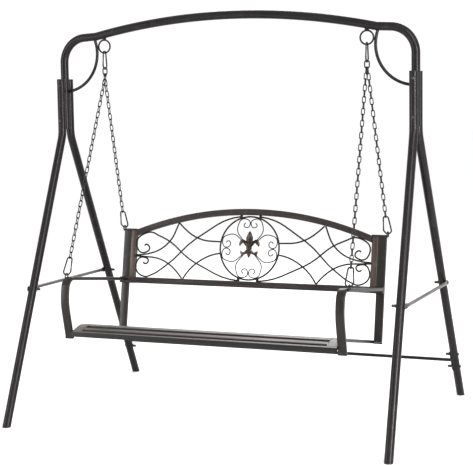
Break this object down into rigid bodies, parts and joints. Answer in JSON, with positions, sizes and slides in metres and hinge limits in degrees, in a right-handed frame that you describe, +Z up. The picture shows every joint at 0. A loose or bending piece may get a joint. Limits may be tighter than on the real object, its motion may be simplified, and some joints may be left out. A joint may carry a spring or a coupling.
{
  "type": "garden swing bench",
  "caption": "Metal garden swing: a scroll-backed bench hung by chains and snap hooks from an arched A-frame stand of round tube.",
  "frame": {"origin": "on the ground, midway between the feet: the middle of the bounding box's bottom", "axes": "+Z up, +Y towards the bench's back, +X to the right seen from the front"},
  "size_m": [1.8184, 1.3236, 1.8415],
  "materials": {
    "stand_steel": "satin powder coat",
    "bench_steel": "brushed bronze-brown powder coat",
    "seat_steel": "worn grey-bronze powder coat",
    "wire_steel": "satin powder coat",
    "chain_steel": "black coat",
    "fasteners": "black coat",
    "cast_ornament": "antique copper paint",
    "cap_plastic": "matte black"
  },
  "bodies": {
    "stand": {"brace_bolts": "fasteners", "curved_braces": "stand_steel", "foot_pads": "cap_plastic", "hanger_rings": "stand_steel", "leg_bolts": "fasteners", "leg_front_left": "stand_steel", "leg_front_right": "stand_steel", "leg_rear_left": "stand_steel", "leg_rear_right": "stand_steel", "rail_bolts": "fasteners", "rail_brackets": "stand_steel", "rear_rail": "stand_steel", "side_brace_left": "stand_steel", "side_brace_right": "stand_steel", "top_frame": "stand_steel", "tube_caps": "cap_plastic"},
    "swing": {"centre_ring": "wire_steel", "chain_front_left": "chain_steel", "chain_front_right": "chain_steel", "chain_rear_left": "chain_steel", "chain_rear_right": "chain_steel", "end_caps": "cap_plastic", "end_post_left": "bench_steel", "end_post_right": "bench_steel", "front_eyes": "chain_steel", "front_rail": "bench_steel", "heart_scrolls": "wire_steel", "hook_front_left": "chain_steel", "hook_front_right": "chain_steel", "hook_rear_left": "chain_steel", "hook_rear_right": "chain_steel", "low_rail": "bench_steel", "lower_scroll_left": "wire_steel", "lower_scroll_right": "wire_steel", "ornament": "cast_ornament", "oval_links": "chain_steel", "panel_arcs_left": "wire_steel", "panel_arcs_right": "wire_steel", "post_caps": "bench_steel", "rear_eyes": "chain_steel", "rear_post_left": "bench_steel", "rear_post_right": "bench_steel", "seat_bearers": "bench_steel", "seat_rail_left": "bench_steel", "seat_rail_right": "bench_steel", "seat_rear_rail": "bench_steel", "seat_slats": "seat_steel", "side_frame_left": "bench_steel", "side_frame_right": "bench_steel", "top_hook_left": "chain_steel", "top_hook_right": "chain_steel", "top_rail": "bench_steel", "upper_scroll_left": "wire_steel", "upper_scroll_right": "wire_steel"},
    "gate_front_left": {"gate_front_left": "chain_steel"},
    "gate_front_right": {"gate_front_right": "chain_steel"},
    "gate_rear_left": {"gate_rear_left": "chain_steel"},
    "gate_rear_right": {"gate_rear_right": "chain_steel"},
    "top_gate_left": {"top_gate_left": "chain_steel"},
    "top_gate_right": {"top_gate_right": "chain_steel"}
  },
  "joints": [
    {"name": "swing", "type": "hinge", "parent": "stand", "child": "swing", "pos_m": [0, -0.08699, 1.67175], "axis": [1, 0, 0], "range_deg": [-25, 25]},
    {"name": "gate_front_left", "type": "hinge", "parent": "swing", "child": "gate_front_left", "pos_m": [-0.65021, -0.42374, 0.72772], "axis": [0, 0.9285, -0.3713], "range_deg": [0, 28], "stiffness_Nm_per_rad": 0.1, "springref_deg": -28.65},
    {"name": "gate_front_right", "type": "hinge", "parent": "swing", "child": "gate_front_right", "pos_m": [0.67619, -0.42344, 0.72848], "axis": [0, 0.9285, -0.3713], "range_deg": [0, 28], "stiffness_Nm_per_rad": 0.1, "springref_deg": -28.65},
    {"name": "gate_rear_left", "type": "hinge", "parent": "swing", "child": "gate_rear_left", "pos_m": [-0.6761, 0.11146, 0.89324], "axis": [0, -0.9596, -0.2814], "range_deg": [0, 28], "stiffness_Nm_per_rad": 0.1, "springref_deg": -28.65},
    {"name": "gate_rear_right", "type": "hinge", "parent": "swing", "child": "gate_rear_right", "pos_m": [0.65011, 0.11171, 0.89241], "axis": [0, -0.9596, -0.2814], "range_deg": [0, 28], "stiffness_Nm_per_rad": 0.1, "springref_deg": -28.65},
    {"name": "top_gate_left", "type": "hinge", "parent": "swing", "child": "top_gate_left", "pos_m": [-0.63716, -0.09999, 1.65894], "axis": [1, 0, 0], "range_deg": [0, 28], "stiffness_Nm_per_rad": 0.1, "springref_deg": -28.65},
    {"name": "top_gate_right", "type": "hinge", "parent": "swing", "child": "top_gate_right", "pos_m": [0.63716, -0.09999, 1.65894], "axis": [1, 0, 0], "range_deg": [0, 28], "stiffness_Nm_per_rad": 0.1, "springref_deg": -28.65}
  ]
}
